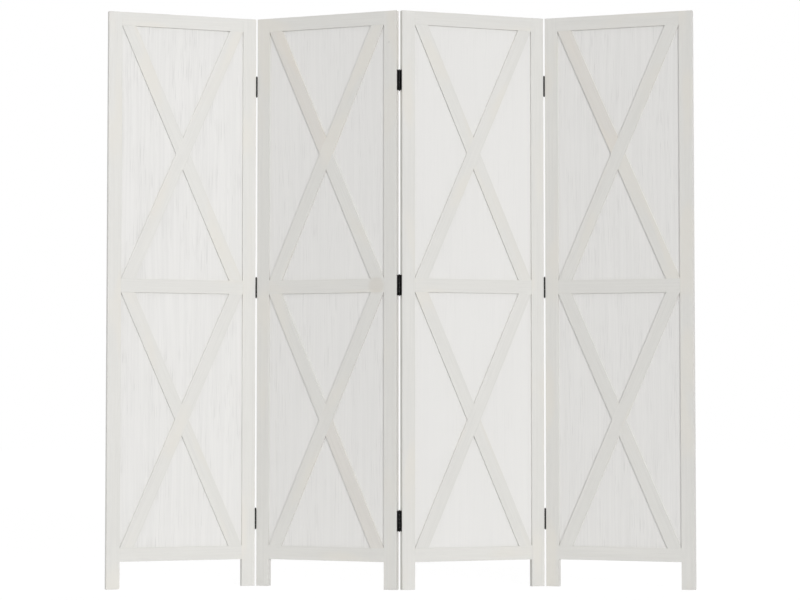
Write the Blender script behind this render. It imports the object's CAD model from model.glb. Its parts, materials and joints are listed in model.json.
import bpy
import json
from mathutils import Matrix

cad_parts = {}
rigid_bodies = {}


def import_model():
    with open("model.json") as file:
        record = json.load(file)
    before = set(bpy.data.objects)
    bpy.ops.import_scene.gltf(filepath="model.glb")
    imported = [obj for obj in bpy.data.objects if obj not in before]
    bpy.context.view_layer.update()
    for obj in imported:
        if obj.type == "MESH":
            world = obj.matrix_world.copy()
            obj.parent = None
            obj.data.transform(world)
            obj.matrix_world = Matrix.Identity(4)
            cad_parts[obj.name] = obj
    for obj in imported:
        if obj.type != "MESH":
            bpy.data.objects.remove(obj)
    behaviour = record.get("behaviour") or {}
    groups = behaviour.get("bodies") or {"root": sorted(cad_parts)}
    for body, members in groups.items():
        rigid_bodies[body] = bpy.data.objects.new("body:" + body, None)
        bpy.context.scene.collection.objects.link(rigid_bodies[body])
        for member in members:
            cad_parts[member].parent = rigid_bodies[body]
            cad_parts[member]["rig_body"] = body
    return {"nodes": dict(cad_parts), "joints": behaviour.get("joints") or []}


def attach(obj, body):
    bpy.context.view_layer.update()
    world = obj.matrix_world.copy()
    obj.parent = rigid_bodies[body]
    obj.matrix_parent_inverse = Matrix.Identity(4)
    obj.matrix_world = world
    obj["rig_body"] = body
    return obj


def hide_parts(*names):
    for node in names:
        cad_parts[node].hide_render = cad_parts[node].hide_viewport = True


bl_info = {
    "name": "Folding screen",
    "version": (1, 0, 0),
    "blender": (4, 5, 0),
    "location": "View3D > Sidebar > Folding screen",
    "description": "Painted frames, boards, braces and black hinges for the packed folding screen",
    "category": "Object",
}

import json
import math
import random

import bmesh
import bpy
from mathutils import Matrix, Vector

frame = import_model()

PANELS = ("panel_1", "panel_2", "panel_3", "panel_4")
# Each line of hinges joins the panel on its left to the panel on its right
LINES = {
    "left_hinge": ("panel_1", "panel_2"),
    "middle_hinge": ("panel_2", "panel_3"),
    "right_hinge": ("panel_3", "panel_4"),
}
# How strongly the grain shows through the paint of each panel's boards
FIGURES = {"panel_1": 0.95, "panel_2": 0.7, "panel_3": 0.2, "panel_4": 0.9}
# How bright the coat of paint of each panel came out
TONES = {"panel_1": 1.012, "panel_2": 1.005, "panel_3": 0.985, "panel_4": 1.0}
# How bright the darkest drifts in a coat are
DRIFT_TONE = 0.93
# Braces on the front whose paint came out warmer than the rest
WARMER = (("panel_2", "upper falling front upper"), ("panel_2", "lower falling front lower"),
          ("panel_4", "upper falling front upper"))
# Two places closer than this are the same
NEAR = 1e-5
QUARTER_TURN = math.radians(90)
# Least angle between the faces at a corner that is rounded, and at an edge that shades sharp
CORNER_ANGLE = math.radians(50)
SHARP_ANGLE = math.radians(40)
# Steps round the rolled knuckles and the pins, and round the rims of holes and screw heads
ROLL_STEPS = 28
HOLE_STEPS = 20
HEAD_STEPS = 24


# Measures of the frame


def turn_of(panel):
    """Turn of a panel about Z, from the broad faces of its upper board."""
    faces = frame["nodes"][f"{panel}_upper_board"].data.polygons
    broad = max(faces, key=lambda face: face.area).normal
    return math.atan(-broad.x / broad.y)


TURNS = {panel: turn_of(panel) for panel in PANELS}


def in_panel(panel, point):
    """A point of the object's frame in a panel's own directions: across it, through it and up."""
    return Matrix.Rotation(-TURNS[panel], 3, "Z") @ Vector(point)


def panel_box(panel, node):
    """Lowest and highest corner of a CAD node in a panel's own directions."""
    points = [in_panel(panel, vertex.co) for vertex in frame["nodes"][node].data.vertices]
    low = Vector([min(point[axis] for point in points) for axis in range(3)])
    high = Vector([max(point[axis] for point in points) for axis in range(3)])
    return low, high


def depths_in(low, high, point):
    """How deep a point lies in the box between two corners, along each axis."""
    return [min(point[axis] - low[axis], high[axis] - point[axis]) for axis in range(3)]


def heights_of(node):
    """Lowest and highest Z of each of the solids that a node stacks one above the other."""
    least_gap = 0.1
    levels = sorted(vertex.co.z for vertex in frame["nodes"][node].data.vertices)
    spans = [[levels[0], levels[0]]]
    for level in levels:
        if level - spans[-1][1] > least_gap:
            spans.append([level, level])
        spans[-1][1] = level
    return spans


def opening_of(panel):
    """Lowest and highest X of the openings of a panel, between its stiles."""
    left = panel_box(panel, f"{panel}_left_stile")[1].x
    right = panel_box(panel, f"{panel}_right_stile")[0].x
    return left, right


# Sizes and colours


class SCREEN_PG_woodwork(bpy.types.PropertyGroup):
    frame_colour: bpy.props.FloatVectorProperty(
        name="Frame paint", description="Warm off-white paint of the stiles, rails and braces",
        default=(0.760, 0.752, 0.722), min=0, max=1, size=3, subtype="COLOR")
    board_colour: bpy.props.FloatVectorProperty(
        name="Board paint", description="White paint of the boards",
        default=(0.822, 0.814, 0.797), min=0, max=1, size=3, subtype="COLOR")
    arris: bpy.props.FloatProperty(
        name="Outer arris", description="Radius of the rounded outer edges of a panel",
        default=0.0006, min=0.0003, max=0.0015, subtype="DISTANCE", unit="LENGTH")
    hairline: bpy.props.FloatProperty(
        name="Inner arris", description="Radius of the edges that meet at a joint or round an opening",
        default=0.00025, min=0.0001, max=0.0006, subtype="DISTANCE", unit="LENGTH")
    groove_depth: bpy.props.FloatProperty(
        name="Groove depth", description="Depth of the grooves that hold the boards",
        default=0.008, min=0.005, max=0.009, subtype="DISTANCE", unit="LENGTH")
    tenon_t: bpy.props.FloatProperty(
        name="Tenon thickness", description="Thickness of the tenons on the ends of the rails",
        default=0.007, min=0.005, max=0.009, subtype="DISTANCE", unit="LENGTH")
    tenon_web: bpy.props.FloatProperty(
        name="Tenon web", description="Wood between a tenon and the groove beside it",
        default=0.002, min=0.001, max=0.003, subtype="DISTANCE", unit="LENGTH")
    mortise_play: bpy.props.FloatProperty(
        name="Mortise play", description="Room between a tenon's end and the bottom of its mortise",
        default=0.001, min=0.0005, max=0.002, subtype="DISTANCE", unit="LENGTH")


class SCREEN_PG_hinges(bpy.types.PropertyGroup):
    leaf_colour: bpy.props.FloatVectorProperty(
        name="Leaf enamel", description="Black enamel of the hinge leaves",
        default=(0.006, 0.006, 0.006), min=0, max=1, size=3, subtype="COLOR")
    pin_colour: bpy.props.FloatVectorProperty(
        name="Pin steel", description="Darkened steel of the hinge pins",
        default=(0.03, 0.028, 0.025), min=0, max=1, size=3, subtype="COLOR")
    screw_colour: bpy.props.FloatVectorProperty(
        name="Screw steel", description="Darkened steel of the screws",
        default=(0.03, 0.03, 0.03), min=0, max=1, size=3, subtype="COLOR")
    leaf_t: bpy.props.FloatProperty(
        name="Leaf thickness", description="Thickness of the sheet that a leaf is rolled from",
        default=0.0009, min=0.0007, max=0.0012, subtype="DISTANCE", unit="LENGTH")
    pin_d: bpy.props.FloatProperty(
        name="Pin diameter", description="Diameter of the pin inside the knuckles",
        default=0.002, min=0.0016, max=0.0021, subtype="DISTANCE", unit="LENGTH")
    knuckles: bpy.props.IntProperty(
        name="Knuckles", description="Number of knuckles of a hinge, on both leaves together",
        default=5, min=3, max=7)
    knuckle_gap: bpy.props.FloatProperty(
        name="Knuckle gap", description="Gap between two knuckles along the pin",
        default=0.0004, min=0.0003, max=0.0008, subtype="DISTANCE", unit="LENGTH")
    screw_d: bpy.props.FloatProperty(
        name="Screw diameter", description="Diameter of the screws",
        default=0.003, min=0.0024, max=0.0034, subtype="DISTANCE", unit="LENGTH")
    screw_head_d: bpy.props.FloatProperty(
        name="Screw head diameter", description="Diameter of the countersunk heads",
        default=0.0048, min=0.0044, max=0.0054, subtype="DISTANCE", unit="LENGTH")
    screw_l: bpy.props.FloatProperty(
        name="Screw length", description="Length of the screws",
        default=0.012, min=0.008, max=0.014, subtype="DISTANCE", unit="LENGTH")
    screw_pitch: bpy.props.FloatProperty(
        name="Screw pitch", description="Distance between two screws in a leaf",
        default=0.02, min=0.014, max=0.022, subtype="DISTANCE", unit="LENGTH")


class SCREEN_PG_studio(bpy.types.PropertyGroup):
    key_strength: bpy.props.FloatProperty(
        name="Key light", description="Strength of the light from the right of the viewer",
        default=1.20, min=0, max=6)
    key_azimuth: bpy.props.FloatProperty(
        name="Key azimuth", description="Turn of the key light to the right of the viewer",
        default=math.radians(25), subtype="ANGLE", unit="ROTATION")
    key_height: bpy.props.FloatProperty(
        name="Key height", description="Angle of the key light above the horizon",
        default=math.radians(13), subtype="ANGLE", unit="ROTATION")
    key_spread: bpy.props.FloatProperty(
        name="Lamp spread", description="Angle that the key and the back light fill in the sky",
        default=math.radians(10), subtype="ANGLE", unit="ROTATION")
    top_strength: bpy.props.FloatProperty(
        name="Top light", description="Strength of the broad light from above, on the left",
        default=0.8, min=0, max=6)
    top_azimuth: bpy.props.FloatProperty(
        name="Top azimuth", description="Turn of the top light to the right of the viewer",
        default=math.radians(-40), subtype="ANGLE", unit="ROTATION")
    top_height: bpy.props.FloatProperty(
        name="Top height", description="Angle of the top light above the horizon",
        default=math.radians(65), subtype="ANGLE", unit="ROTATION")
    top_spread: bpy.props.FloatProperty(
        name="Top spread", description="Angle that the top light fills in the sky",
        default=math.radians(90), subtype="ANGLE", unit="ROTATION")
    back_strength: bpy.props.FloatProperty(
        name="Back light", description="Strength of the light on the back of the screen",
        default=1.4, min=0, max=6)
    back_azimuth: bpy.props.FloatProperty(
        name="Back azimuth", description="Turn of the back light, round from the viewer",
        default=math.radians(160), subtype="ANGLE", unit="ROTATION")
    back_height: bpy.props.FloatProperty(
        name="Back height", description="Angle of the back light above the horizon",
        default=math.radians(18), subtype="ANGLE", unit="ROTATION")
    sky_strength: bpy.props.FloatProperty(
        name="Fill light", description="Strength of the even light from all round",
        default=0.33, min=0, max=2)
    camera_place: bpy.props.FloatVectorProperty(
        name="Camera", description="Place of the camera",
        default=(0.1140, -6.7877, 0.5400), size=3, subtype="TRANSLATION", unit="LENGTH")
    camera_rise: bpy.props.FloatProperty(
        name="Camera rise", description="Angle by which the camera looks above the horizon",
        default=math.radians(2.610), subtype="ANGLE", unit="ROTATION")
    camera_turn: bpy.props.FloatProperty(
        name="Camera turn", description="Angle by which the camera looks to the left",
        default=math.radians(0.978), subtype="ANGLE", unit="ROTATION")
    camera_lens: bpy.props.FloatProperty(
        name="Camera lens", description="Focal length of the lens, for a sensor 36 mm wide",
        default=103.11, min=20, max=300, subtype="DISTANCE_CAMERA", unit="CAMERA")


# Finishes


def front_place(from_edge, height, ahead=0.0):
    """A place at the second panel's front or ahead of it, from the inner edge of its right stile."""
    low = panel_box("panel_2", "panel_2_right_stile")[0]
    place = Vector((low.x + from_edge, low.y - ahead, height))
    return Matrix.Rotation(TURNS["panel_2"], 3, "Z") @ place


def knot_place():
    """Place of the knot near the top of the second panel's right stile."""
    from_top = 0.093
    top = panel_box("panel_2", "panel_2_right_stile")[1].z
    return front_place(from_edge=0.0165, height=top - from_top)


def browned_place():
    """Middle of the browned paint at the right end of the second panel's middle rail. It lies ahead of
    the front, so that the back isn't reached."""
    low, high = panel_box("panel_2", "panel_2_middle_rail")
    return front_place(from_edge=-0.024, height=(low.z + high.z) / 2, ahead=0.020)


def shade(colour, share=1.0):
    """A colour for a node, brought down to a share of its brightness."""
    return (*(share * level for level in colour), 1)


def grey(level):
    """A neutral colour for a node."""
    return shade((level, level, level))


class Nodes:
    """The nodes of a material or of the world, added one at a time."""

    def __init__(self, owner):
        owner.use_nodes = True
        self.tree = owner.node_tree
        self.tree.nodes.clear()

    def add(self, kind, inputs, **settings):
        """Adds a node; each input is a value or the output of another node."""
        node = self.tree.nodes.new(kind)
        for name, value in settings.items():
            setattr(node, name, value)
        for name, value in inputs.items():
            self.join(value, node.inputs[name])
        return node

    def join(self, value, socket):
        """Sets an input to a value, or links it to the output of another node."""
        if isinstance(value, bpy.types.NodeSocket):
            self.tree.links.new(value, socket)
        else:
            socket.default_value = value

    def show(self, output, lit, seen):
        """Ends in a shader for the rays that light the object and another for those that show the
        background, straight or in a gloss."""
        path = self.add("ShaderNodeLightPath", {}).outputs
        share = path["Is Camera Ray"]
        for name in ("Is Glossy Ray", "Is Transmission Ray"):
            highest = self.add("ShaderNodeMath", {0: share, 1: path[name]}, operation="MAXIMUM")
            share = highest.outputs["Value"]
        mix = self.add("ShaderNodeMixShader", {"Fac": share, 1: lit, 2: seen})
        self.add(output, {"Surface": mix.outputs["Shader"]})


class Finish(Nodes):
    """A material in the making, whose patterns are joined to its shader at the end."""

    def __init__(self, name, colour, roughness, specular=0.5, metallic=0.0):
        self.material = bpy.data.materials.new(name)
        super().__init__(self.material)
        self.material.diffuse_color = shade(colour)
        self.shader = self.add("ShaderNodeBsdfPrincipled", {
            "Base Color": shade(colour), "Roughness": roughness, "Specular IOR Level": specular,
            "Metallic": metallic})
        self.add("ShaderNodeOutputMaterial", {"Surface": self.shader.outputs["BSDF"]})

    def ended(self, paint, roughness, normal):
        """The material, once its shader has its colour, roughness and relief."""
        for name, value in (("Base Color", paint), ("Roughness", roughness), ("Normal", normal)):
            self.join(value, self.shader.inputs[name])
        return self.material

    def place(self):
        """Place of a point on the object."""
        return self.add("ShaderNodeTexCoord", {}).outputs["Object"]

    def attribute(self, name, output="Fac"):
        return self.add("ShaderNodeAttribute", {}, attribute_name=name).outputs[output]

    def stretched(self, vector, scale):
        """The same pattern space, scaled on each axis."""
        return self.add("ShaderNodeMapping", {"Vector": vector, "Scale": scale}).outputs["Vector"]

    def noise(self, vector, scale, detail=2.0, distortion=0.0):
        return self.add("ShaderNodeTexNoise", {
            "Vector": vector, "Scale": scale, "Detail": detail, "Distortion": distortion}).outputs["Fac"]

    def streaks(self, grain, along, scale, detail=2.0, distortion=0.0):
        """Noise drawn out along the grain, where it has only a share of its scale."""
        return self.noise(self.stretched(grain, (1, 1, along)), scale, detail, distortion)

    def ranged(self, value, low, high, to_low=0.0, to_high=1.0):
        """Value from low to high, spread smoothly over another range and clamped to it."""
        return self.add("ShaderNodeMapRange", {
            "Value": value, "From Min": low, "From Max": high, "To Min": to_low, "To Max": to_high},
            interpolation_type="SMOOTHSTEP").outputs["Result"]

    def times(self, first, second):
        return self.add("ShaderNodeMath", {0: first, 1: second}, operation="MULTIPLY").outputs["Value"]

    def spot(self, place, middle, core, rim, strength):
        """A round spot, of full strength in its core and fading out at its rim."""
        apart = self.add("ShaderNodeVectorMath", {0: place, 1: middle}, operation="DISTANCE")
        return self.ranged(apart.outputs["Value"], core, rim, strength, 0.0)

    def mixed(self, share, first, second, blend="MIX"):
        return self.add("ShaderNodeMix", {0: share, 6: first, 7: second},
                        data_type="RGBA", blend_type=blend).outputs[2]

    def toned(self, paint):
        """Paint as bright as the panel's own coat came out."""
        return self.add("ShaderNodeVectorMath", {0: paint, "Scale": self.attribute("tone")},
                        operation="SCALE").outputs["Vector"]

    def relief(self, pattern, depth, below=None):
        """Bump of a pattern, over the bump of another where one is given."""
        inputs = {"Height": pattern, "Distance": depth}
        if below is not None:
            inputs["Normal"] = below
        return self.add("ShaderNodeBump", inputs).outputs["Normal"]


def frame_paint(colour):
    """Satin paint on straight-grained solid wood, shared by the frames and the braces. The grain
    attribute runs along each member."""
    name = "satin_frame_paint"
    if name in bpy.data.materials:
        return bpy.data.materials[name]
    slightly_warm = (colour[0], 0.985 * colour[1], 0.96 * colour[2])
    warm_cast, brown_cast = (0.987, 0.967, 0.953), (0.94, 0.92, 0.895)
    bare_wood, knot_grey = (0.62, 0.57, 0.49), (0.3, 0.3, 0.29)
    coat, in_lines, in_pores = (shade(colour, share) for share in (1.0, 0.975, 0.86))
    finish = Finish(name, colour, roughness=0.45)
    place = finish.place()
    grain = finish.attribute("grain", "Vector")
    strokes = finish.streaks(grain, along=0.012, scale=900)
    lines = finish.streaks(grain, along=0.02, scale=230, detail=4, distortion=0.2)
    drift = finish.streaks(grain, along=0.35, scale=7)
    warmth = finish.streaks(grain, along=0.3, scale=14, detail=1)
    pores = finish.streaks(grain, along=0.025, scale=560, detail=1)
    nibs = finish.noise(grain, scale=260, detail=1)
    paint = finish.mixed(finish.ranged(lines, 0.35, 0.65), in_lines, coat)
    paint = finish.mixed(finish.ranged(drift, 0.3, 0.7, 0.0, 0.3), paint, grey(DRIFT_TONE), "MULTIPLY")
    paint = finish.mixed(finish.ranged(pores, 0.6, 0.72, 0.0, 0.3), paint, in_pores)
    paint = finish.mixed(finish.ranged(warmth, 0.5, 0.7), paint, shade(slightly_warm))
    paint = finish.mixed(finish.attribute("warm"), paint, shade(warm_cast), "MULTIPLY")
    # The paint is thinner on the arrises, and the wood's colour comes through here and there
    thin = finish.times(finish.attribute("arris"), finish.ranged(drift, 0.5, 0.65, 0.0, 0.1))
    paint = finish.mixed(thin, paint, shade(bare_wood))
    # A small knot shows through the paint as a grey spot
    stain = finish.spot(place, knot_place(), core=0.0015, rim=0.0048, strength=0.16)
    paint = finish.mixed(stain, paint, shade(knot_grey))
    browned = finish.spot(place, browned_place(), core=0.025, rim=0.037, strength=1.0)
    paint = finish.mixed(browned, paint, shade(brown_cast), "MULTIPLY")
    specks = finish.relief(finish.ranged(nibs, 0.66, 0.74), depth=0.00006)
    brushed = finish.relief(strokes, depth=0.00003, below=specks)
    return finish.ended(finish.toned(paint), finish.ranged(strokes, 0.35, 0.65, 0.41, 0.5),
                        finish.relief(lines, depth=0.0001, below=brushed))


def board_paint(colour):
    """Thin white paint on open-grained boards. The figure attribute sets how much the grain shows."""
    coat, in_bands, in_pores = (shade(colour, share) for share in (1.0, 0.96, 0.78))
    finish = Finish("thin_board_paint", colour, roughness=0.5)
    grain = finish.attribute("grain", "Vector")
    figure = finish.attribute("figure")
    # The bands wander sideways as they run up the board
    sideways = finish.times(finish.streaks(grain, along=0.25, scale=9, detail=1), 0.02)
    lean = finish.add("ShaderNodeCombineXYZ", {"X": sideways}).outputs["Vector"]
    wandering = finish.add("ShaderNodeVectorMath", {0: grain, 1: lean}).outputs["Vector"]
    bands = finish.streaks(wandering, along=0.02, scale=170, detail=3)
    pores = finish.streaks(wandering, along=0.02, scale=620, detail=1)
    drift = finish.streaks(grain, along=0.3, scale=6)
    shown = finish.ranged(finish.streaks(grain, along=0.2, scale=26), 0.42, 0.6)
    paint = finish.mixed(finish.ranged(bands, 0.3, 0.7), in_bands, coat)
    paint = finish.mixed(figure, coat, paint)
    pitted = finish.times(finish.ranged(pores, 0.58, 0.68, 0.0, 0.6), shown)
    pitted = finish.times(pitted, figure)
    paint = finish.mixed(pitted, paint, in_pores)
    paint = finish.mixed(finish.ranged(drift, 0.3, 0.7, 0.0, 0.15), paint, grey(DRIFT_TONE), "MULTIPLY")
    open_grain = finish.relief(finish.times(pitted, -1.0), depth=0.0002)
    return finish.ended(finish.toned(paint), finish.ranged(bands, 0.3, 0.7, 0.54, 0.46),
                        finish.relief(bands, depth=0.00012, below=open_grain))


def black_enamel(colour):
    """Baked black enamel on rolled steel, rubbed a little on its edges."""
    bare_steel, dust_grey = (0.12, 0.115, 0.105), (0.3, 0.29, 0.27)
    finish = Finish("black_enamel", colour, roughness=0.4, specular=0.3)
    place = finish.place()
    peel = finish.noise(place, scale=900)
    rubs = finish.noise(place, scale=260, detail=3)
    rubbed = finish.times(finish.attribute("arris"), finish.ranged(rubs, 0.5, 0.62, 0.0, 0.6))
    paint = finish.mixed(rubbed, shade(colour), shade(bare_steel))
    dust = finish.ranged(finish.noise(place, scale=40), 0.5, 0.75, 0.0, 0.02)
    paint = finish.mixed(dust, paint, shade(dust_grey))
    return finish.ended(paint, finish.ranged(rubs, 0.3, 0.7, 0.3, 0.45),
                        finish.relief(peel, depth=0.00003))


def dark_steel(name, colour, roughness):
    """Chemically darkened steel, with turning marks round the piece and rubbed spots."""
    rubbed_steel = (0.16, 0.155, 0.14)
    finish = Finish(name, colour, roughness, metallic=1.0)
    place = finish.place()
    marks = finish.noise(finish.stretched(place, (0.1, 0.1, 1)), scale=2500, detail=1)
    rubs = finish.noise(place, scale=400, detail=3)
    steel = finish.mixed(finish.ranged(rubs, 0.5, 0.68, 0.0, 0.5), shade(colour), shade(rubbed_steel))
    return finish.ended(steel, finish.ranged(rubs, 0.3, 0.7, roughness, roughness + 0.15),
                        finish.relief(marks, depth=0.00002))


# Modelling


def new_solid():
    """An empty bmesh that carries the patterns' attributes."""
    solid = bmesh.new()
    solid.verts.layers.float_vector.new("grain")
    for name in ("figure", "tone", "warm"):
        solid.verts.layers.float.new(name)
    solid.faces.layers.float.new("arris")
    return solid


def only(kind, geometry):
    """The points, edges or faces among what an operator returned."""
    return [item for item in geometry if isinstance(item, kind)]


def edges_at(points):
    """The edges that meet at some points."""
    return list({edge for point in points for edge in point.link_edges})


def turn(solid, points, angle, axis):
    """Turns points of a solid about an axis through the origin."""
    bmesh.ops.rotate(solid, cent=(0, 0, 0), matrix=Matrix.Rotation(angle, 3, axis), verts=points)


def cut(solid, place, across, clear=False):
    """Cuts a solid in a plane, which can clear away what lies behind it, and returns the cut."""
    everything = solid.verts[:] + solid.edges[:] + solid.faces[:]
    return bmesh.ops.bisect_plane(solid, geom=everything, dist=NEAR, plane_co=place, plane_no=across,
                                  clear_inner=clear)["geom_cut"]


def bar(low, high):
    """A squared bar between two corners."""
    solid = new_solid()
    points = bmesh.ops.create_cube(solid, size=1)["verts"]
    bmesh.ops.scale(solid, vec=high - low, verts=points)
    bmesh.ops.translate(solid, vec=(high + low) / 2, verts=points)
    return solid


def prism(outline, depth):
    """A flat outline, swept along a vector into a solid."""
    solid = new_solid()
    face = solid.faces.new([solid.verts.new(point) for point in outline])
    swept = bmesh.ops.extrude_face_region(solid, geom=[face])["geom"]
    bmesh.ops.translate(solid, vec=depth, verts=only(bmesh.types.BMVert, swept))
    bmesh.ops.recalc_face_normals(solid, faces=solid.faces)
    return solid


def step(solid, side, low, high, depth):
    """Sinks the part of a solid's side between two corners by a depth; below 0 raises it. The old
    faces stay across its mouth."""
    side = Vector(side)
    same_way = 0.9
    for axis in range(3):
        if side[axis] == 0:
            across = Vector([float(axis == other) for other in range(3)])
            cut(solid, across * low[axis], across)
            cut(solid, across * high[axis], across)
    facing = [face for face in solid.faces if face.normal.dot(side) > same_way]
    chosen = [face for face in facing
              if min(depths_in(low, high, face.calc_center_median())) > -NEAR]
    pushed = bmesh.ops.extrude_face_region(solid, geom=chosen)["geom"]
    bmesh.ops.translate(solid, vec=side * -depth, verts=only(bmesh.types.BMVert, pushed))


def tidy(solid):
    """Joins the flat faces that the cuts left apart."""
    flat = math.radians(0.5)
    bmesh.ops.dissolve_limit(solid, angle_limit=flat, verts=solid.verts, edges=solid.edges)


def ease(solid, edges, radius, segments=1):
    """Rounds edges, and marks the rounding so that the paint can wear on it."""
    arris = solid.faces.layers.float["arris"]
    rounded = bmesh.ops.bevel(solid, geom=edges, offset=radius, affect="EDGES", segments=segments,
                              profile=0.5, material=-1, clamp_overlap=True)
    for face in rounded["faces"]:
        face.smooth = True
        face[arris] = 1.0


def sharp_edges(solid, wanted):
    """The outward corners of a solid whose middle passes a test."""
    outward = [edge for edge in solid.edges
               if edge.is_convex and edge.calc_face_angle(0.0) > CORNER_ANGLE]
    return [edge for edge in outward if wanted((edge.verts[0].co + edge.verts[1].co) / 2)]


def run_grain(solid, panel, along, name):
    """Lays the grain of a panel's member along one direction, from a place of its own in the pattern."""
    draw = random.Random(f"{panel} {name}")
    start = Vector([draw.uniform(0, 8) for _ in range(3)])
    along = Vector(along).normalized()
    through = Vector((0, 1, 0))
    across = through.cross(along)
    grain = solid.verts.layers.float_vector["grain"]
    figure = solid.verts.layers.float["figure"]
    tone = solid.verts.layers.float["tone"]
    warm = solid.verts.layers.float["warm"]
    for point in solid.verts:
        place = Vector((point.co.dot(across), point.co.dot(through), point.co.dot(along)))
        point[grain] = start + place
        point[figure] = FIGURES[panel]
        point[tone] = TONES[panel]
        point[warm] = float((panel, name) in WARMER)


def gathered(solids):
    """One bmesh that holds several finished solids."""
    whole = new_solid()
    for solid in solids:
        mesh = bpy.data.meshes.new("solid")
        solid.to_mesh(mesh)
        solid.free()
        whole.from_mesh(mesh)
        bpy.data.meshes.remove(mesh)
    return whole


def place_piece(solid, node, panel, material):
    """Makes a solid, drawn in a panel's own directions, the piece that stands for a CAD node, and
    turns its faces outwards."""
    turn(solid, solid.verts, TURNS[panel], "Z")
    bmesh.ops.recalc_face_normals(solid, faces=solid.faces)
    for edge in solid.edges:
        edge.smooth = edge.calc_face_angle(0.0) < SHARP_ANGLE
    mesh = bpy.data.meshes.new(f"finished_{node}")
    solid.to_mesh(mesh)
    solid.free()
    mesh.materials.append(material)
    piece = bpy.data.objects.new(f"finished_{node}", mesh)
    bpy.context.scene.collection.objects.link(piece)
    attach(piece, frame["nodes"][node]["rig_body"])
    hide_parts(node)


# Stiles and rails


def tenon_corners(low, high, rail, sizes):
    """Corners of the tenon of a rail, or of its mortise, on a face between two corners."""
    inset = sizes.groove_depth + sizes.tenon_web
    middle = (low.y + high.y) / 2
    return (Vector((low.x, middle - sizes.tenon_t / 2, rail[0] + inset)),
            Vector((high.x, middle + sizes.tenon_t / 2, rail[1] - inset)))


def make_stile(panel, hand, sizes):
    """A stile with its two grooves and three mortises."""
    low, high = panel_box(panel, f"{panel}_{hand}_stile")
    stile = bar(low, high)
    inner = high.x if hand == "left" else low.x
    side = (1, 0, 0) if hand == "left" else (-1, 0, 0)
    boxes = [panel_box(panel, f"{panel}_{name}_rail") for name in ("bottom", "middle", "top")]
    rails = [(bottom.z, top.z) for bottom, top in boxes]
    board_low, board_high = panel_box(panel, f"{panel}_upper_board")
    tenon_l = abs(boxes[-1][0 if hand == "left" else 1].x - inner)
    for below, above in zip(rails, rails[1:]):
        step(stile, side, Vector((inner, board_low.y, below[1] - sizes.groove_depth)),
             Vector((inner, board_high.y, above[0] + sizes.groove_depth)), sizes.groove_depth)
    for rail in rails:
        corners = tenon_corners(Vector((inner, low.y, 0)), Vector((inner, high.y, 0)), rail, sizes)
        step(stile, side, *corners, tenon_l + sizes.mortise_play)
    tidy(stile)

    def outside(middle):
        on_faces = sum(depth < NEAR for depth in depths_in(low, high, middle))
        return on_faces > 1 and abs(middle.x - inner) > NEAR

    def beside_opening(middle):
        near_outside = min(depths_in(low, high, middle)[1:]) < sizes.arris + NEAR
        return abs(middle.x - inner) < NEAR and near_outside

    ease(stile, sharp_edges(stile, outside), sizes.arris, segments=3)
    ease(stile, sharp_edges(stile, beside_opening), sizes.hairline)
    run_grain(stile, panel, (0, 0, 1), f"{hand} stile")
    return stile


def make_rail(panel, name, sizes):
    """A rail with its grooves along it and a tenon on each end."""
    low, high = panel_box(panel, f"{panel}_{name}_rail")
    left, right = opening_of(panel)
    board_low, board_high = panel_box(panel, f"{panel}_upper_board")
    depth = sizes.groove_depth
    outline = [(low.y, low.z)]
    if name != "bottom":
        outline += [(board_low.y, low.z), (board_low.y, low.z + depth),
                    (board_high.y, low.z + depth), (board_high.y, low.z)]
    outline += [(high.y, low.z), (high.y, high.z)]
    if name != "top":
        outline += [(board_high.y, high.z), (board_high.y, high.z - depth),
                    (board_low.y, high.z - depth), (board_low.y, high.z)]
    outline += [(low.y, high.z)]
    rail = prism([(left, y, z) for y, z in outline], Vector((right - left, 0, 0)))
    for end, side, tenon_l in ((left, -1, left - low.x), (right, 1, high.x - right)):
        corners = tenon_corners(Vector((end, low.y, 0)), Vector((end, high.y, 0)), (low.z, high.z), sizes)
        step(rail, (side, 0, 0), *corners, -tenon_l)
    tidy(rail)
    outer = {"top": high.z, "bottom": low.z}.get(name)

    def outside(middle):
        on_face = depths_in(low, high, middle)[1] < NEAR
        return outer is not None and on_face and abs(middle.z - outer) < NEAR

    def beside_opening(middle):
        in_groove = board_low.y - NEAR < middle.y < board_high.y + NEAR
        from_end = min(middle.x - left, right - middle.x)
        near_face, near_side = (depth < sizes.arris + NEAR for depth in depths_in(low, high, middle)[1:])
        return not in_groove and from_end > -NEAR and (near_face or from_end < NEAR and near_side)

    ease(rail, sharp_edges(rail, outside), sizes.arris, segments=3)
    ease(rail, sharp_edges(rail, beside_opening), sizes.hairline)
    run_grain(rail, panel, (1, 0, 0), f"{name} rail")
    return rail


class SCREEN_OT_frames(bpy.types.Operator):
    """Make the stiles and rails of the four panels"""
    bl_idname = "folding_screen.make_frames"
    bl_label = "Stiles and rails"

    def execute(self, context):
        sizes = context.scene.screen_woodwork
        paint = frame_paint(sizes.frame_colour)
        for panel in PANELS:
            for hand in ("left", "right"):
                stile = make_stile(panel, hand, sizes)
                place_piece(stile, f"{panel}_{hand}_stile", panel, paint)
            for name in ("top", "middle", "bottom"):
                rail = make_rail(panel, name, sizes)
                place_piece(rail, f"{panel}_{name}_rail", panel, paint)
        return {"FINISHED"}


# Boards


def make_board(panel, name, sizes):
    """A board with its edges eased where they run in the grooves."""
    board = bar(*panel_box(panel, f"{panel}_{name}_board"))
    ease(board, board.edges[:], sizes.hairline)
    run_grain(board, panel, (0, 0, 1), f"{name} board")
    return board


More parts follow.
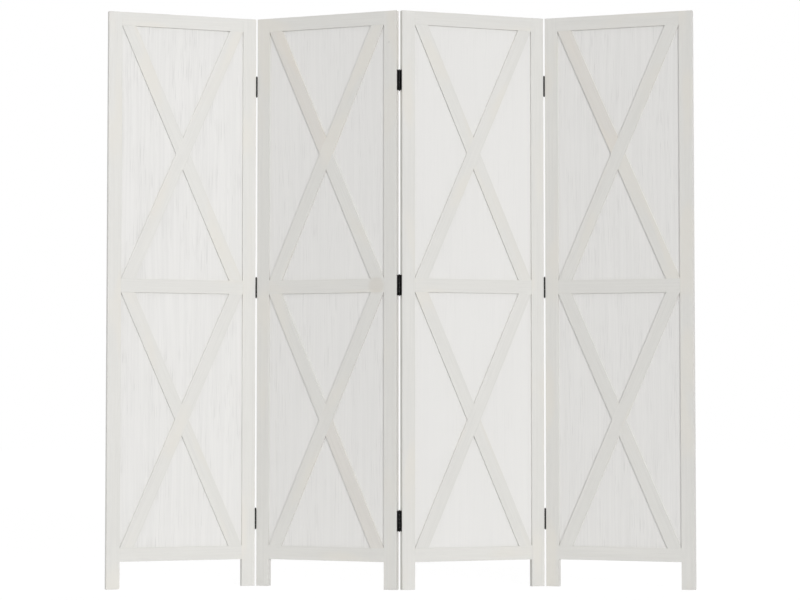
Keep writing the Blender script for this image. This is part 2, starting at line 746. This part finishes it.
class SCREEN_OT_boards(bpy.types.Operator):
    """Make the upper and lower boards of the four panels"""
    bl_idname = "folding_screen.make_boards"
    bl_label = "Boards"

    def execute(self, context):
        sizes = context.scene.screen_woodwork
        paint = board_paint(sizes.board_colour)
        for panel in PANELS:
            for name in ("upper", "lower"):
                board = make_board(panel, name, sizes)
                place_piece(board, f"{panel}_{name}_board", panel, paint)
        return {"FINISHED"}


# Braces


def brace_foot(panel, node):
    """Run of a brace along the rail that it stands on."""
    points = [in_panel(panel, vertex.co) for vertex in frame["nodes"][node].data.vertices]
    bottom = min(point.z for point in points)
    across = [point.x for point in points if point.z - bottom < NEAR]
    left, right = opening_of(panel)
    return min(max(across) - left, right - min(across))


def make_braces(panel, level, direction, sizes):
    """The braces of one direction on both faces of a board. A falling brace is cut in two, to let
    the rising one through."""
    node = f"{panel}_{level}_{direction}_braces"
    low, high = panel_box(panel, node)
    foot = brace_foot(panel, node)
    rise = Vector((high.x - low.x - foot, 0, high.z - low.z))
    square = Vector((rise.z, 0, -rise.x)).normalized()
    board_low, board_high = panel_box(panel, f"{panel}_{level}_board")
    solids = []
    for outer, inner in ((low.y, board_low.y), (high.y, board_high.y)):
        corners = [(low.x, outer, low.z), (low.x + foot, outer, low.z),
                   (high.x, outer, high.z), (high.x - foot, outer, high.z)]
        if direction == "rising":
            solids.append((prism(corners, Vector((0, inner - outer, 0))), outer, "whole"))
            continue
        corners = [(low.x + high.x - x, y, z) for x, y, z in corners]
        for half, edge_x, keep in (("upper", low.x, -1), ("lower", low.x + foot, 1)):
            solid = prism(corners, Vector((0, inner - outer, 0)))
            end = cut(solid, (edge_x, 0, low.z), square * keep, clear=True)
            bmesh.ops.holes_fill(solid, edges=only(bmesh.types.BMEdge, end))
            bmesh.ops.recalc_face_normals(solid, faces=solid.faces)
            solids.append((solid, outer, half))
    slope = rise if direction == "rising" else Vector((-rise.x, 0, rise.z))
    for solid, outer, part in solids:
        ease(solid, sharp_edges(solid, lambda middle: abs(middle.y - outer) < NEAR), sizes.hairline)
        face = "back" if outer > board_low.y else "front"
        run_grain(solid, panel, slope, f"{level} {direction} {face} {part}")
    return gathered([solid for solid, outer, part in solids])


class SCREEN_OT_braces(bpy.types.Operator):
    """Make the crossed braces on both faces of the boards"""
    bl_idname = "folding_screen.make_braces"
    bl_label = "Braces"

    def execute(self, context):
        sizes = context.scene.screen_woodwork
        paint = frame_paint(sizes.frame_colour)
        for panel in PANELS:
            for level in ("upper", "lower"):
                for direction in ("rising", "falling"):
                    place_piece(make_braces(panel, level, direction, sizes),
                                f"{panel}_{level}_{direction}_braces", panel, paint)
        return {"FINISHED"}


# Hinges


class HingeSide:
    """One side of a line of hinges: the leaves that a panel carries, measured from the pins' axis.
    X runs away from the panel's edge, Y into the thickness of the panel and Z up."""

    def __init__(self, line, panel, sizes):
        self.panel = panel
        self.on_left = panel == LINES[line][0]
        self.node = f"{panel}_right_leaves" if self.on_left else f"{panel}_left_leaves"
        joint = next(joint for joint in frame["joints"] if joint["name"] == line)
        self.axis = in_panel(panel, joint["pos_m"])
        low, high = panel_box(panel, self.node)
        self.from_front = high.y - self.axis.y > self.axis.y - low.y
        self.barrel_r = self.axis.x - low.x if self.on_left else high.x - self.axis.x
        self.leaf_w = high.y - self.axis.y if self.from_front else self.axis.y - low.y
        self.spans = heights_of(self.node)
        self.leaf_l = self.spans[0][1] - self.spans[0][0]
        self.leaf_start = self.barrel_r + sizes.knuckle_gap
        self.screw_y = (self.leaf_start + self.leaf_w) / 2

    def put(self, solid, span):
        """Moves a solid from the hinge's own directions to its height on the panel's edge."""
        mirrored = (1 if self.on_left else -1, 1 if self.from_front else -1, 1)
        bmesh.ops.scale(solid, vec=mirrored, verts=solid.verts)
        place = Vector((self.axis.x, self.axis.y, (span[0] + span[1]) / 2))
        bmesh.ops.translate(solid, vec=place, verts=solid.verts)
        return solid


def hinge_sides(sizes):
    """The six sides of the three lines of hinges."""
    return [HingeSide(line, panel, sizes) for line, panels in LINES.items() for panel in panels]


def screw_heights(sizes):
    """Heights of a leaf's three screws over its middle."""
    return (-sizes.screw_pitch, 0, sizes.screw_pitch)


def loop_of(solid, points):
    """A closed loop of edges through some points."""
    corners = [solid.verts.new(point) for point in points]
    return [solid.edges.new((corners[i - 1], corners[i])) for i in range(len(corners))]


def make_leaf(side, sizes):
    """A leaf cut from sheet with its countersunk holes, whose tabs are rolled into knuckles."""
    leaf = new_solid()
    face_x = -side.barrel_r
    knuckle_l = (side.leaf_l - (sizes.knuckles - 1) * sizes.knuckle_gap) / sizes.knuckles
    leaf_end = side.leaf_l / 2
    outline = [(side.leaf_w, -leaf_end)]
    for knuckle in range(0 if side.on_left else 1, sizes.knuckles, 2):
        bottom = knuckle * (knuckle_l + sizes.knuckle_gap) - leaf_end
        outline += [(side.leaf_start, bottom), (0, bottom), (0, bottom + knuckle_l),
                    (side.leaf_start, bottom + knuckle_l)]
    if side.on_left:
        # The first and last tabs reach the corners of the leaf
        del outline[1], outline[-1]
    else:
        outline = [outline[0], (side.leaf_start, -leaf_end), *outline[1:], (side.leaf_start, leaf_end)]
    outline.append((side.leaf_w, leaf_end))
    edges = loop_of(leaf, [(face_x, y, z) for y, z in outline])
    holes = []
    hole_r = sizes.screw_d / 2
    for height in screw_heights(sizes):
        rim = bmesh.ops.create_circle(leaf, cap_ends=False, radius=hole_r, segments=HOLE_STEPS)["verts"]
        turn(leaf, rim, QUARTER_TURN, "Y")
        bmesh.ops.translate(leaf, vec=(face_x, side.screw_y, height), verts=rim)
        edges += edges_at(rim)
        holes.append(Vector((0, side.screw_y, height)))
    sheet = bmesh.ops.triangle_fill(leaf, use_beauty=True, use_dissolve=False, edges=edges)["geom"]
    swept = bmesh.ops.extrude_face_region(leaf, geom=only(bmesh.types.BMFace, sheet))["geom"]
    raised = only(bmesh.types.BMVert, swept)
    bmesh.ops.translate(leaf, vec=(sizes.leaf_t, 0, 0), verts=raised)
    wider = sizes.screw_head_d / sizes.screw_d
    in_plane = Vector((0, 1, 1))
    for hole in holes:
        rim = [point for point in raised if (point.co * in_plane - hole).length < hole_r + NEAR]
        bmesh.ops.scale(leaf, vec=(1, wider, wider), space=Matrix.Translation(-hole), verts=rim)
    bmesh.ops.recalc_face_normals(leaf, faces=leaf.faces)
    arris = leaf.faces.layers.float["arris"]
    # A tab rolls away from the wood and round the pin until it meets the sheet again
    rolled = math.radians(294)
    for tab in [face for face in leaf.faces if face.calc_center_median().y < NEAR]:
        whole = [tab, *tab.edges, *tab.verts]
        bmesh.ops.spin(leaf, geom=whole, cent=(0, 0, 0), axis=(0, 0, 1), dvec=(0, 0, 0),
                       angle=rolled, steps=ROLL_STEPS, use_merge=False, use_duplicate=False)
    bmesh.ops.remove_doubles(leaf, verts=leaf.verts, dist=NEAR / 10)
    bmesh.ops.recalc_face_normals(leaf, faces=leaf.faces)
    for face in leaf.faces:
        middle = face.calc_center_median()
        round_part = middle.y < -NEAR or middle.x > face_x + sizes.leaf_t + NEAR
        end_face = abs(face.normal.z) > 0.5
        face.smooth = round_part and not end_face
        face[arris] = float(end_face)
    return leaf


def make_pin(side, span, sizes):
    """A pin with a domed head at each end of the barrel."""
    pin = new_solid()
    proud = (span[1] - span[0] - side.leaf_l) / 2
    barrel_end = side.leaf_l / 2
    head_r = (sizes.pin_d / 2 + side.barrel_r) / 2
    # Shares of a head's height that its upright rim and its dome take up
    rim, dome = 0.35, 0.65
    bend = [math.radians(degrees) for degrees in range(0, 91, 18)]
    upper = [(head_r * math.sin(angle), barrel_end + proud * (rim + dome * math.cos(angle)))
             for angle in bend]
    upper += [(head_r, barrel_end + NEAR), (sizes.pin_d / 2, barrel_end + NEAR)]
    profile = upper + [(x, -z) for x, z in reversed(upper)]
    points = [pin.verts.new((x, 0, z)) for x, z in profile]
    edges = [pin.edges.new(pair) for pair in zip(points, points[1:])]
    bmesh.ops.spin(pin, geom=points + edges, cent=(0, 0, 0), axis=(0, 0, 1), dvec=(0, 0, 0),
                   angle=4 * QUARTER_TURN, steps=ROLL_STEPS, use_merge=True, use_duplicate=False)
    bmesh.ops.remove_doubles(pin, verts=pin.verts, dist=NEAR)
    for face in pin.faces:
        face.smooth = True
    return pin


def make_screw(sizes, twist):
    """A countersunk screw with a cross recess. It lies along X, with its head's face at X = 0."""
    screw = new_solid()
    head_r = sizes.screw_head_d / 2
    head_h = (sizes.screw_head_d - sizes.screw_d) / 2
    arm, half = 0.62 * head_r, 0.16 * head_r
    recess_depth, recess_taper = 0.42 * head_r, 0.45
    tip_l, tip_taper = sizes.screw_d, 0.25
    corner = [(arm, -half), (arm, half), (half, half)]
    cross = [Matrix.Rotation(QUARTER_TURN * quarter, 3, "Z") @ Vector((x, y, 0))
             for quarter in range(4) for x, y in corner]
    recess = loop_of(screw, cross)
    circle = bmesh.ops.create_circle(screw, cap_ends=False, radius=head_r, segments=HEAD_STEPS)
    rim = edges_at(circle["verts"])
    bmesh.ops.triangle_fill(screw, use_beauty=True, use_dissolve=False, edges=recess + rim)

    def sunk(edges, depth, width):
        """Draws a loop of edges down, narrower or wider, and returns the new loop."""
        drawn = bmesh.ops.extrude_edge_only(screw, edges=edges)["geom"]
        points = only(bmesh.types.BMVert, drawn)
        bmesh.ops.scale(screw, vec=(width, width, 1), verts=points)
        bmesh.ops.translate(screw, vec=(0, 0, -depth), verts=points)
        return only(bmesh.types.BMEdge, drawn)

    bottom = sunk(recess, recess_depth, recess_taper)
    bmesh.ops.contextual_create(screw, geom=bottom)
    neck = sunk(rim, head_h, sizes.screw_d / sizes.screw_head_d)
    shank = sunk(neck, sizes.screw_l - head_h - tip_l, 1)
    tip = sunk(shank, tip_l, tip_taper)
    bmesh.ops.contextual_create(screw, geom=tip)
    turn(screw, screw.verts, twist, "Z")
    turn(screw, screw.verts, QUARTER_TURN, "Y")
    for face in screw.faces:
        face.smooth = True
    return screw


class SCREEN_OT_leaves(bpy.types.Operator):
    """Make the rolled leaves on both sides of the three lines of hinges"""
    bl_idname = "folding_screen.make_leaves"
    bl_label = "Hinge leaves"

    def execute(self, context):
        sizes = context.scene.screen_hinges
        enamel = black_enamel(sizes.leaf_colour)
        for side in hinge_sides(sizes):
            leaves = gathered([side.put(make_leaf(side, sizes), span) for span in side.spans])
            place_piece(leaves, side.node, side.panel, enamel)
        return {"FINISHED"}


class SCREEN_OT_pins(bpy.types.Operator):
    """Make the pins of the three lines of hinges"""
    bl_idname = "folding_screen.make_pins"
    bl_label = "Hinge pins"

    def execute(self, context):
        sizes = context.scene.screen_hinges
        steel = dark_steel("pin_steel", sizes.pin_colour, roughness=0.35)
        for line, (panel, _) in LINES.items():
            side = HingeSide(line, panel, sizes)
            node = f"{line}_pins"
            pins = gathered([side.put(make_pin(side, span, sizes), span) for span in heights_of(node)])
            place_piece(pins, node, panel, steel)
        return {"FINISHED"}


class SCREEN_OT_screws(bpy.types.Operator):
    """Make the screws that hold the hinge leaves"""
    bl_idname = "folding_screen.make_screws"
    bl_label = "Hinge screws"

    def execute(self, context):
        sizes = context.scene.screen_hinges
        steel = dark_steel("screw_steel", sizes.screw_colour, roughness=0.42)
        draw = random.Random("screws")
        screws = {panel: [] for panel in PANELS}
        for side in hinge_sides(sizes):
            face_x = sizes.leaf_t - side.barrel_r
            for span in side.spans:
                for height in screw_heights(sizes):
                    screw = make_screw(sizes, draw.uniform(0, QUARTER_TURN))
                    bmesh.ops.translate(screw, vec=(face_x, side.screw_y, height), verts=screw.verts)
                    screws[side.panel].append(side.put(screw, span))
        for panel in PANELS:
            place_piece(gathered(screws[panel]), f"{panel}_hinge_screws", panel, steel)
        return {"FINISHED"}


# Studio


def make_sky(strength):
    """An even sky that lights the object at one strength and shows as white."""
    world = bpy.data.worlds.new("white_sky")
    nodes = Nodes(world)
    fill, white = (nodes.add("ShaderNodeBackground", {"Color": grey(1.0), "Strength": level})
                   for level in (strength, 1.0))
    nodes.show("ShaderNodeOutputWorld", fill.outputs["Background"], white.outputs["Background"])
    bpy.context.scene.world = world


def make_floor():
    """A wide pale floor. It shows as white, and keeps a faint part of the object's shadow."""
    width = 40.0
    paleness, shadow_share, glow = 0.88, 0.2, 0.86
    surface = bmesh.new()
    bmesh.ops.create_grid(surface, x_segments=1, y_segments=1, size=width / 2)
    mesh = bpy.data.meshes.new("floor")
    surface.to_mesh(mesh)
    surface.free()
    floor = bpy.data.objects.new("floor", mesh)
    bpy.context.scene.collection.objects.link(floor)
    material = bpy.data.materials.new("white_floor")
    nodes = Nodes(material)
    pale, shadow = (nodes.add("ShaderNodeBsdfDiffuse", {"Color": grey(level)}).outputs["BSDF"]
                    for level in (paleness, shadow_share))
    white = nodes.add("ShaderNodeEmission", {"Strength": glow}).outputs["Emission"]
    shown = nodes.add("ShaderNodeAddShader", {0: shadow, 1: white}).outputs["Shader"]
    nodes.show("ShaderNodeOutputMaterial", pale, shown)
    mesh.materials.append(material)


def make_lamp(name, strength, height, azimuth, spread):
    """A light far off, at an angle above the horizon, turned round from the viewer."""
    lamp = bpy.data.lights.new(name, "SUN")
    lamp.energy = strength
    lamp.angle = spread
    light = bpy.data.objects.new(name, lamp)
    bpy.context.scene.collection.objects.link(light)
    light.rotation_euler = (QUARTER_TURN - height, 0, azimuth)


def make_camera(studio):
    """The camera, in the place that the view was taken from."""
    lens = bpy.data.cameras.new("camera")
    lens.sensor_width = 36
    lens.lens = studio.camera_lens
    camera = bpy.data.objects.new("camera", lens)
    bpy.context.scene.collection.objects.link(camera)
    camera.location = studio.camera_place
    camera.rotation_euler = (QUARTER_TURN + studio.camera_rise, 0, studio.camera_turn)
    bpy.context.scene.camera = camera


class SCREEN_OT_studio(bpy.types.Operator):
    """Make the floor, the light and the camera"""
    bl_idname = "folding_screen.make_studio"
    bl_label = "Studio"

    def execute(self, context):
        studio = context.scene.screen_studio
        context.scene.view_settings.view_transform = "Standard"
        make_camera(studio)
        make_sky(studio.sky_strength)
        make_lamp("key", studio.key_strength, studio.key_height, studio.key_azimuth, studio.key_spread)
        make_lamp("top", studio.top_strength, studio.top_height, studio.top_azimuth, studio.top_spread)
        make_lamp("back", studio.back_strength, studio.back_height, studio.back_azimuth, studio.key_spread)
        make_floor()
        return {"FINISHED"}


class SCREEN_PT_sidebar(bpy.types.Panel):
    """Lists the steps that dress the screen, with their sizes and colours"""
    bl_idname = "SCREEN_PT_sidebar"
    bl_label = "Folding screen"
    bl_space_type = "VIEW_3D"
    bl_region_type = "UI"
    bl_category = "Folding screen"

    def draw(self, context):
        for settings in (context.scene.screen_woodwork, context.scene.screen_hinges,
                         context.scene.screen_studio):
            box = self.layout.box()
            for name in settings.__annotations__:
                box.prop(settings, name)
        for step_class in STEPS:
            self.layout.operator(step_class.bl_idname)


STEPS = (SCREEN_OT_studio, SCREEN_OT_frames, SCREEN_OT_boards, SCREEN_OT_braces, SCREEN_OT_leaves,
         SCREEN_OT_pins, SCREEN_OT_screws)
SETTINGS = {"screen_woodwork": SCREEN_PG_woodwork, "screen_hinges": SCREEN_PG_hinges,
            "screen_studio": SCREEN_PG_studio}


def register():
    for settings in SETTINGS.values():
        bpy.utils.register_class(settings)
    for name, settings in SETTINGS.items():
        setattr(bpy.types.Scene, name, bpy.props.PointerProperty(type=settings))
    for part in (*STEPS, SCREEN_PT_sidebar):
        bpy.utils.register_class(part)


def unregister():
    for part in (SCREEN_PT_sidebar, *reversed(STEPS)):
        bpy.utils.unregister_class(part)
    for name, settings in SETTINGS.items():
        delattr(bpy.types.Scene, name)
        bpy.utils.unregister_class(settings)


def main():
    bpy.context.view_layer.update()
    register()
    bpy.ops.folding_screen.make_studio()
    bpy.ops.folding_screen.make_frames()
    bpy.ops.folding_screen.make_boards()
    bpy.ops.folding_screen.make_braces()
    bpy.ops.folding_screen.make_leaves()
    bpy.ops.folding_screen.make_pins()
    bpy.ops.folding_screen.make_screws()


if __name__ == "__main__":
    main()
